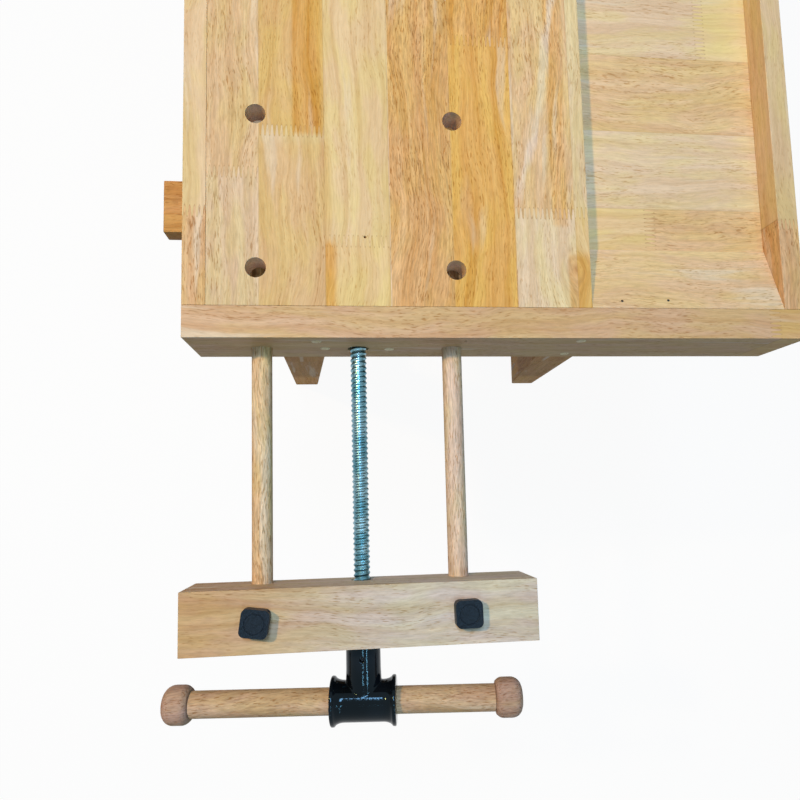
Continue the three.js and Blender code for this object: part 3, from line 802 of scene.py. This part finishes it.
def make_boards():
    for node, material, rounding in (
        ("middle_rail", frame_wood["X"], 0.8), ("tray_floor", tray_wood, 0.4),
        ("left_bearer", frame_wood["Y"], 1.2), ("right_bearer", frame_wood["Y"], 1.2),
        ("left_cross_rail", frame_wood["Y"], 1.2), ("right_cross_rail", frame_wood["Y"], 1.2),
        ("end_board_left", end_wood, 1.0),
    ):
        finish_board(board(node), node, material, rounding)
    for node, material, axis in (
        ("end_board_right", end_wood, "X"), ("tail_guide_rail", frame_wood["Y"], "X"),
        ("front_edge_board", edge_wood, "Y"), ("front_guide_rail", frame_wood["X"], "Y"),
    ):
        piece = board(node)
        bore_for_vise(piece, node, axis)
        if node == "end_board_right":
            bore_end_board(piece)
        finish_board(piece, node, material, 0.4)


def make_back_rail():
    """The back rail, with the groove that takes the tray floor."""
    piece = board("back_rail")
    low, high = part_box("back_rail")
    floor_low, floor_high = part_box("tray_floor")
    past = 10 * MM
    groove_low = Vector((low.x - past, low.y - past, floor_low.z - FIT * MM))
    groove_high = Vector((high.x + past, floor_high.y + FIT * MM, floor_high.z + FIT * MM))
    cut_away(piece, [add_block("groove", groove_low, groove_high)])
    finish_board(piece, "back_rail", edge_wood, 0.9)


def make_ramps():
    for node, sign in (("tray_ramp_left", -1), ("tray_ramp_right", 1)):
        low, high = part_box(node)
        piece = board(node)
        foot = low.x if sign > 0 else high.x
        drop = high.z - low.z - RAMP_TOE
        shift_points(piece, lambda at: abs(at.x - foot) < MM and at.z > low.z + MM, (0, 0, -drop))
        finish_board(piece, node, ramp_wood, 0.5)


LEG_FOOT = 48 * MM
LEG_TAPER = 290 * MM
BOLT_Z = 360 * MM
THROUGH = 100 * MM  # length of a drill that goes all the way through


def make_legs():
    for side in ("left", "right"):
        for end, sign in (("front", 1), ("rear", -1)):
            node = f"{side}_{end}_leg"
            low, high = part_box(node)
            piece = board(node)
            open_mesh(piece)
            bpy.ops.mesh.bisect(plane_co=(0, 0, low.z + LEG_TAPER), plane_no=(0, 0, 1))
            close_mesh()
            inner = high.y if sign > 0 else low.y
            inward = (high.y - low.y) - LEG_FOOT
            shift_points(
                piece, lambda at: abs(at.y - inner) < MM and at.z < low.z + MM, (0, -sign * inward, 0),
            )
            hole = Vector((middle_of(node).x, middle_of(f"{side}_{end}_bolt").y, BOLT_Z))
            bore(piece, "X", [hole], 4.3 * MM, 2 * THROUGH, SMALL)
            finish_board(piece, node, frame_wood["Z"], 2.0)


def make_stretchers():
    for end in ("front", "rear"):
        node = f"{end}_stretcher"
        piece = board(node)
        nuts = [middle_of(f"{side}_{end}_barrel_nut") for side in ("left", "right")]
        bore(piece, "Y", nuts, 7.2 * MM, THROUGH, SMALL)
        finish_board(piece, node, frame_wood["X"], 1.2)


def make_bolt(node, sign):
    """A round-headed bolt with a hex socket, its head towards the end of the bench."""
    low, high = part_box(node)
    middle = middle_of(node)
    length = (high.x - low.x) / MM
    head = length - 5
    bolt = turn(f"{node}_steel", [
        (3.4, 0), (4, 0.6), (4, head), (10, head), (10, head + 1.4), (9.4, head + 2.6), (8, head + 3.9),
        (6, head + 4.7), (4.5, head + 5),
    ])
    cut_away(bolt, [add_bar("key", "Z", point(0, 0, length), 2.9 * MM, 6 * MM, 6)])
    move(bolt, (0, sign * math.pi / 2, 0), (low.x if sign > 0 else high.x, middle.y, middle.z))
    stand_for(smooth(bolt), node, plated_steel)


def make_barrel_nut(node):
    """A slotted barrel nut, across the stretcher."""
    low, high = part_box(node)
    half = (high.y - low.y) / 2 / MM
    nut = turn(f"{node}_steel", [(6.4, -half), (7, 0.6 - half), (7, half - 0.6), (6.4, half)])
    cut_away(nut, [add_block("slot", point(-8, -0.9, half - 1.5), point(8, 0.9, half + 1))])
    move(nut, LENGTHWISE["Y"], middle_of(node))
    stand_for(smooth(nut), node, plated_steel)


def make_bolts():
    for end in ("front", "rear"):
        for side, sign in (("left", -1), ("right", 1)):
            make_bolt(f"{side}_{end}_bolt", sign)
            make_barrel_nut(f"{side}_{end}_barrel_nut")


# Vises: modelled with the jaw's inner face at X 0, its middle at Y 0 and its top at Z 0, in millimetres

JAW_THICK = 56
JAW_HEIGHT = 64
JAW_LENGTH = 320
ROD_RADIUS = 9.8
ROD_START = -351.7
ROD_SOCKET = 44
COLLAR_LENGTH = 9
PLATE_THICK = 4
PLATE_SCREWS = 24  # to either side of the screw
FLANGE_THICK = 6
FLANGE_SCREWS = 31  # to either side of the screw
SCREW_Z = -45
SCREW_START = -310.2
THREAD_END = 46.8
JOURNAL_RADIUS = 6.5
HUB_X = 60.5
HUB_SOCKET = 26
PIN_X = 72.2
TUBE_HALF = 31
HANDLE_X = 113
HANDLE_SHOULDER = 144
HANDLE_TENON = 14
HANDLES = {"tail": (20, math.radians(6.6)), "front": (14, 0)}  # slid across, and turned about the screw
DOG_HALF = 12.25
DOG_HEAD = 11
DOG_DEPTH = 32
DOG_TURNS = (-8, 1)  # degrees, one for each dog of a vise
# Axis out of the jaw, axis across it and the names of its two sides
VISES = {"tail": ("X", "Y", ("front", "rear")), "front": ("Y", "X", ("left", "right"))}


def on_axis(x):
    """The place on the axis of the screw at X."""
    return point(x, 0, SCREW_Z)


def make_jaw():
    piece = add_block("jaw", point(0, -JAW_LENGTH / 2, -JAW_HEIGHT), point(JAW_THICK, JAW_LENGTH / 2, 0))
    bore(piece, "X", [point(0, y / MM, SCREW_Z) for y in guide_offsets], 10 * MM, 2 * ROD_SOCKET * MM)
    bore(piece, "X", [on_axis(JAW_THICK / 2)], SCREW_HOLE, THROUGH)
    bore(piece, "X", [on_axis(JAW_THICK)], 15 * MM, 2 * (COLLAR_LENGTH + 0.3) * MM)
    bore(piece, "Z", [point(JAW_THICK / 2, y / MM, 0) for y in guide_offsets], DOG_HOLE, 2 * DOG_DEPTH * MM)
    return soften(piece, 1.2 * MM, 3)


def make_rod():
    end = ROD_SOCKET - FIT
    piece = turn("guide_rod", [
        (ROD_RADIUS - 1.5, ROD_START), (ROD_RADIUS, ROD_START + 1.5), (ROD_RADIUS, end),
        (ROD_RADIUS - 0.1, end),
    ])
    return smooth(move(piece, LENGTHWISE["X"], on_axis(0)))


def make_dog():
    """A dog: a square head with round corners, a ring moulded in its top, on a round shank."""
    piece = add_block("dog", point(-DOG_HALF, -DOG_HALF, 0), point(DOG_HALF, DOG_HALF, DOG_HEAD))
    round_edges(piece, axis=2, radius=5, segments=8)
    pick()
    bpy.ops.mesh.primitive_torus_add(
        major_radius=8.6 * MM, minor_radius=0.55 * MM, major_segments=64, minor_segments=10,
        location=(0, 0, DOG_HEAD * MM),
    )
    cut_away(piece, [settle(take_name("ring"))])
    shank = add_bar("shank", "Z", point(0, 0, -15), 9.2 * MM, DOG_DEPTH * MM)
    cut_away(piece, [shank], "UNION")
    return soften(piece, 1.0 * MM, 3)


def make_screw():
    """The screw: one turn of the thread wound on along the axis, then a plain journal."""
    root, crest = 6.9 * MM, 8.0 * MM
    turns = int((THREAD_END - SCREW_START) * MM / THREAD_PITCH)
    pick()
    bpy.ops.mesh.primitive_plane_add(size=MM, location=(0, 0, 0))
    piece = take_name("screw")
    open_mesh(piece)
    bpy.ops.mesh.merge(type="CENTER")
    bpy.ops.transform.translate(value=(root, 0, 0))
    for out, ahead in ((0, 0.7), (crest - root, 1.5), (0, 0.7), (root - crest, 1.5), (0, 0.6)):
        bpy.ops.mesh.extrude_region_move(TRANSFORM_OT_translate={"value": (out, 0, ahead * MM)})
    close_mesh()
    modify(
        piece, "SCREW", angle=2 * math.pi, screw_offset=THREAD_PITCH, iterations=turns, steps=SMALL,
        render_steps=SMALL, axis="Z", use_merge_vertices=True, merge_threshold=SAME_POINT,
        use_smooth_shade=False,
    )
    open_mesh(piece)
    bpy.ops.mesh.remove_doubles(threshold=SAME_POINT)
    bpy.ops.mesh.fill_holes(sides=0)
    bpy.ops.mesh.normals_make_consistent(inside=False)
    close_mesh()
    move(piece, place=point(0, 0, SCREW_START))
    tip = HUB_X + HUB_SOCKET - 0.4
    journal = turn("journal", [
        (JOURNAL_RADIUS, THREAD_END - 8), (JOURNAL_RADIUS, tip), (JOURNAL_RADIUS - 0.5, tip + 0.1),
    ])
    pick(journal, piece)
    bpy.ops.object.join()
    move(piece, LENGTHWISE["X"], on_axis(0))
    return smooth(piece, 25)


def make_hub():
    """The hub: a stem with a tube across it, cast in one with small fillets and flared rims."""
    stem = turn("hub", [
        (15.6, HUB_X), (16.3, HUB_X + 0.5), (16.4, HUB_X + 1), (16.5, HANDLE_X - 30), (17, HANDLE_X - 18),
        (17, HANDLE_X),
    ])
    move(stem, LENGTHWISE["X"], on_axis(0))
    rim = [(20.5, 0), (22.4, 0.3), (23, 1), (23, 3), (22.6, 3.8), (21.4, 4.6), (20.4, 6), (19.7, 7.8),
           (19.2, 9.8), (19, 12)]
    outline = [(radius, height - TUBE_HALF) for radius, height in rim]
    mirrored = [(radius, -height) for radius, height in reversed(outline)]
    tube = move(turn("tube", outline + mirrored), LENGTHWISE["Y"], on_axis(HANDLE_X))
    cut_away(stem, [tube], "UNION")
    bore(stem, "Y", [on_axis(HANDLE_X)], 12.8 * MM, THROUGH)
    bore(stem, "X", [on_axis(HUB_X)], 6.7 * MM, 2 * HUB_SOCKET * MM)
    bore(stem, "Z", [on_axis(PIN_X)], 2.2 * MM, THROUGH, SMALL)
    modify(stem, "REMESH", mode="VOXEL", voxel_size=0.6 * MM, use_smooth_shade=True)
    modify(stem, "SMOOTH", factor=0.5, iterations=4)
    return stem


def make_handle():
    shoulder = HANDLE_SHOULDER
    tenon = shoulder + HANDLE_TENON
    half = [(12.5, shoulder - 0.6), (11.9, shoulder), (7.5, shoulder), (7.5, tenon - 0.5), (7, tenon)]
    piece = turn("handle_bar", [(radius, -height) for radius, height in reversed(half)] + half)
    return smooth(move(piece, LENGTHWISE["Y"], on_axis(HANDLE_X)))


def make_knob():
    """A turned knob, along Z from its shoulder at 0: a barrel with a low dome, hollowed for the tenon."""
    piece = turn("knob", [
        (7.7, HANDLE_TENON + FIT), (7.7, FIT), (14.0, FIT), (15.0, 0.5), (16.6, 2.4), (17.5, 3.9),
        (18.0, 5.4), (18.2, 7), (18.2, 15), (18.0, 17.2), (17.4, 19), (16.4, 20.9), (15.0, 22.5), (13, 24),
        (9.6, 25.2), (5, 25.8), (1, 26),
    ])
    return smooth(piece, 50)


def make_plate(name, length, height, thick, x):
    """A strip with round ends, across the axis of the screw from x on."""
    low = point(x, -length / 2, SCREW_Z - height / 2)
    piece = add_block(name, low, point(x + thick, length / 2, SCREW_Z + height / 2))
    round_edges(piece, axis=0, radius=height / 2 - 0.05, segments=12)
    return piece


def make_thrust_plate():
    piece = make_plate("thrust_plate", 64, 34, PLATE_THICK, JAW_THICK + FIT)
    bore(piece, "X", [on_axis(JAW_THICK)], 6.8 * MM, THROUGH / 2)
    return soften(piece, 0.7 * MM)


def make_collar():
    middle = on_axis(JAW_THICK - COLLAR_LENGTH / 2)
    piece = add_bar("thrust_collar", "X", middle, 14 * MM, COLLAR_LENGTH * MM)
    bore(piece, "X", [on_axis(JAW_THICK)], 6.7 * MM, THROUGH)
    return soften(piece, 0.5 * MM)


def make_pin():
    piece = turn("hub_pin", [(1.6, -11.5), (2, -11.1), (2, 11.1), (1.6, 11.5)], SMALL)
    return smooth(move(piece, place=on_axis(PIN_X)))


def make_nut(name, face):
    """The flanged nut behind the board, with its flange against it at X face."""
    piece = make_plate(name, 92, 34, FLANGE_THICK, face - FLANGE_THICK)
    boss = turn("boss", [(15, face - 36), (16, face - 35), (16, face - 8), (17, face - 5), (17, face - 3)])
    move(boss, LENGTHWISE["X"], on_axis(0))
    cut_away(piece, [boss], "UNION")
    bore(piece, "X", [on_axis(face)], 8.3 * MM, THROUGH)
    screws = [point(face, y, SCREW_Z) for y in (-FLANGE_SCREWS, FLANGE_SCREWS)]
    bore(piece, "X", screws, 3 * MM, THROUGH / 2, SMALL)
    return soften(piece, 0.6 * MM)


def make_screw_head():
    """A pan-headed wood screw's head along Z with a cross recess, its underside at 0."""
    outline = [(4.4, 0), (4.7, 0.4), (4.5, 1.3), (3.6, 2.1), (2.2, 2.5), (0.8, 2.6)]
    piece = turn("screw_head", outline, SMALL)
    arms = [
        add_block("arm", point(-x, -y, 1.2), point(x, y, 4)) for x, y in ((2.2, 0.45), (0.45, 2.2))
    ]
    cut_away(piece, arms)
    return smooth(piece)


def to_vise(label, piece):
    """Moves a piece from the vise's own frame to the tail vise or the front vise."""
    if label == "tail":
        return move(piece, place=tail_middle)
    return move(piece, (0, 0, -math.pi / 2), front_middle)


def tilt_handle(piece, tilt):
    """Turns a piece in the vise's own frame about the axis of the screw."""
    move(piece, place=point(0, 0, -SCREW_Z))
    move(piece, (tilt, 0, 0), on_axis(0))


def place_nut(label, head):
    """The nut of a vise, and the heads of the screws in its flange and in the thrust plate."""
    low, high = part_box({"tail": "end_board_right", "front": "front_edge_board"}[label])
    jaw_face = tail_middle.x if label == "tail" else -front_middle.y
    face = ((low.x if label == "tail" else -high.y) - jaw_face) / MM - FIT
    nut = make_nut(f"{label}_nut_cast", face)
    stand_for(to_vise(label, nut), f"{label}_nut", cast_black)
    for kind, node, x, spread, way in (
        ("nut", "nut", face - FLANGE_THICK, FLANGE_SCREWS, -1),
        ("plate", "thrust_plate", JAW_THICK + PLATE_THICK + FIT, PLATE_SCREWS, 1),
    ):
        for number, y in enumerate((-spread, spread)):
            piece = copy_piece(head, f"{label}_{kind}_screw_{number + 1}")
            move(piece, (0, way * math.pi / 2, 0), point(x, y, SCREW_Z))
            add_trim(to_vise(label, piece), f"{label}_{node}", plated_steel)


def make_vises():
    patterns = {
        "jaw": make_jaw(), "screw": make_screw(), "hub": make_hub(), "handle_bar": make_handle(),
        "thrust_plate": make_thrust_plate(), "thrust_collar": make_collar(), "hub_pin": make_pin(),
    }
    rod, dog, knob, head = make_rod(), make_dog(), make_knob(), make_screw_head()
    for label, (out, across, sides) in VISES.items():
        materials = {
            "jaw": jaw_wood[across], "handle_bar": handle_wood[across], "screw": plated_steel,
            "hub": cast_black, "thrust_plate": cast_black, "thrust_collar": plated_steel,
            "hub_pin": dark_steel,
        }
        slip, tilt = HANDLES[label]
        for kind, pattern in patterns.items():
            piece = copy_piece(pattern, f"{label}_{kind}_made")
            if kind == "handle_bar":
                move(piece, place=point(0, -slip, 0))
            if kind in ("hub", "hub_pin", "handle_bar"):
                tilt_handle(piece, tilt)
            stand_for(to_vise(label, piece), f"{label}_{kind}", materials[kind])

        for side, offset, angle, sign in zip(sides, guide_offsets, DOG_TURNS, (-1, 1)):
            piece = move(copy_piece(rod, f"{label}_guide_rod_{side}_turned"), place=(0, offset, 0))
            stand_for(to_vise(label, piece), f"{label}_guide_rod_{side}", rod_wood[out])
            piece = copy_piece(dog, f"{label}_dog_{side}_moulded")
            move(piece, (0, 0, math.radians(angle)), (JAW_THICK / 2 * MM, offset, FIT * MM))
            stand_for(to_vise(label, piece), f"{label}_dog_{side}", dog_plastic)
            piece = copy_piece(knob, f"{label}_knob_{side}_turned")
            shoulder = point(HANDLE_X, sign * HANDLE_SHOULDER - slip, SCREW_Z)
            move(piece, (-sign * math.pi / 2, 0, 0), shoulder)
            tilt_handle(piece, tilt)
            stand_for(to_vise(label, piece), f"{label}_knob_{side}", knob_wood[across])

        place_nut(label, head)
    remove(*patterns.values(), rod, dog, knob, head)


make_worktop()
make_boards()
make_back_rail()
make_ramps()
make_plugs()
make_nails()
make_legs()
make_stretchers()
make_bolts()
make_vises()


# Camera, light and floor

CAMERA_PLACE = (0.72331, -0.05784, 1.45021)
CAMERA_TURN = (5.7276, -6.2648, 88.5125)  # degrees
pick()
bpy.ops.object.camera_add(location=CAMERA_PLACE, rotation=[math.radians(angle) for angle in CAMERA_TURN])
camera = bpy.context.object
camera.data.sensor_width = 36
camera.data.lens = 29.05
camera.data.shift_x = -0.02605
camera.data.shift_y = 0.04606
bpy.context.scene.camera = camera

LAMPS = (
    # name, place, aim, size, power, colour
    ("overhead", (-0.1, -0.3, 3.2), (0.4, 0, 0.86), (0.35, 0.8), 31.5, (0.69, 1.0, 1.37)),
    ("key", (-0.1, -1.5, 3.1), (0.5, 0, 0.86), (0.16, 0.16), 29.5, (1.5, 0.95, 0.3)),
    ("far strip", (2.0, 0, 3.2), (0.8, 0, 0.86), (0.08, 0.5), 4, (0.6, 1.0, 1.2)),
    ("side strip", (3.3, 0, 3.2), (0.8, 0, 0.86), (0.08, 0.6), 6, (0.7, 1.0, 1.15)),
    ("front lamp", (1.35, -0.27, 3.2), (0.8, 0, 0.86), (0.3, 0.06), 2, (0.6, 1.0, 1.2)),
    ("rear lamp", (1.35, 0.92, 3.2), (0.8, 0, 0.86), (0.4, 0.1), 6, (0.6, 1.0, 1.2)),
)
for name, place, aim, (size, size_y), power, colour in LAMPS:
    way = Vector(aim) - Vector(place)
    bpy.ops.object.light_add(type="AREA", location=place, rotation=way.to_track_quat("-Z", "Y").to_euler())
    bpy.context.object.name = name
    lamp = bpy.context.object.data
    lamp.shape = "RECTANGLE"
    lamp.size, lamp.size_y = size, size_y
    lamp.energy = power
    lamp.color = colour

WHITE_SHARE = 0.94  # of the floor's brightness that doesn't depend on the light
# Painted shade: the floor takes a darker tan deep under the bench
SHADED = ((-0.85, 0.26), (-0.3, 0.42))  # floor deep under the bench, in X and in Y
SHADE_EDGE = 0.12


def sees_background(tree):
    """1 for the rays that show the background as it is: from the camera, off shiny faces and
    through clear ones."""
    path = add_node(tree, "LightPath").outputs
    seen = calc(tree, "MAXIMUM", path["Is Camera Ray"], path["Is Glossy Ray"])
    return calc(tree, "MAXIMUM", seen, path["Is Transmission Ray"])


def make_floor():
    """A floor that the camera sees nearly white, keeping the shadows; deep under the bench it has no white
    glow, is lit only by the lamps and takes a darker tan colour, painted shade.
    """
    bpy.ops.mesh.primitive_plane_add(size=40, location=(0, 0, 0))
    floor = take_name("floor")
    material = bpy.data.materials.new("pale_floor")
    material.use_nodes = True
    tree = material.node_tree
    tree.nodes.clear()
    place = add_node(tree, "TexCoord").outputs["Object"]
    parts = split(tree, place)
    edges = []
    for axis, (low, high) in zip("XY", SHADED):
        edges.append(rescale(tree, parts[axis], low - SHADE_EDGE, low))
        edges.append(rescale(tree, parts[axis], high, high + SHADE_EDGE, 1, 0))
    shaded = times(tree, times(tree, *edges[:2]), times(tree, *edges[2:]))
    open_floor = calc(tree, "SUBTRACT", 1.0, shaded)
    seen = sees_background(tree)
    bright = blend(tree, seen, (0.5, 0.5, 0.5, 1), (0.9, 0.9, 0.9, 1))
    # Painted shade: a darker tan floor under the bench
    colour = blend(tree, shaded, bright, srgb(186, 170, 152))
    matt = add_node(tree, "BsdfDiffuse", {"Color": colour})
    white = add_node(tree, "Emission", {"Color": (1, 1, 1, 1), "Strength": 1.0})
    share = times(tree, times(tree, seen, open_floor), WHITE_SHARE)
    mix = add_node(tree, "MixShader", {0: share, 1: matt.outputs[0], 2: white.outputs[0]})
    add_node(tree, "OutputMaterial", {"Surface": mix.outputs[0]})
    floor.data.materials.append(material)


def make_world():
    world = bpy.data.worlds.new("studio")
    bpy.context.scene.world = world
    world.use_nodes = True
    tree = world.node_tree
    tree.nodes.clear()
    fill = add_node(tree, "Background", {"Color": (0.8, 1.0, 1.15, 1), "Strength": 0.12})
    white = add_node(tree, "Background", {"Color": (1, 1, 1, 1), "Strength": 1.0})
    seen = sees_background(tree)
    mix = add_node(tree, "MixShader", {0: seen, 1: fill.outputs[0], 2: white.outputs[0]})
    add_node(tree, "OutputWorld", {"Surface": mix.outputs[0]})


make_floor()
make_world()
bpy.context.scene.view_settings.view_transform = "Standard"
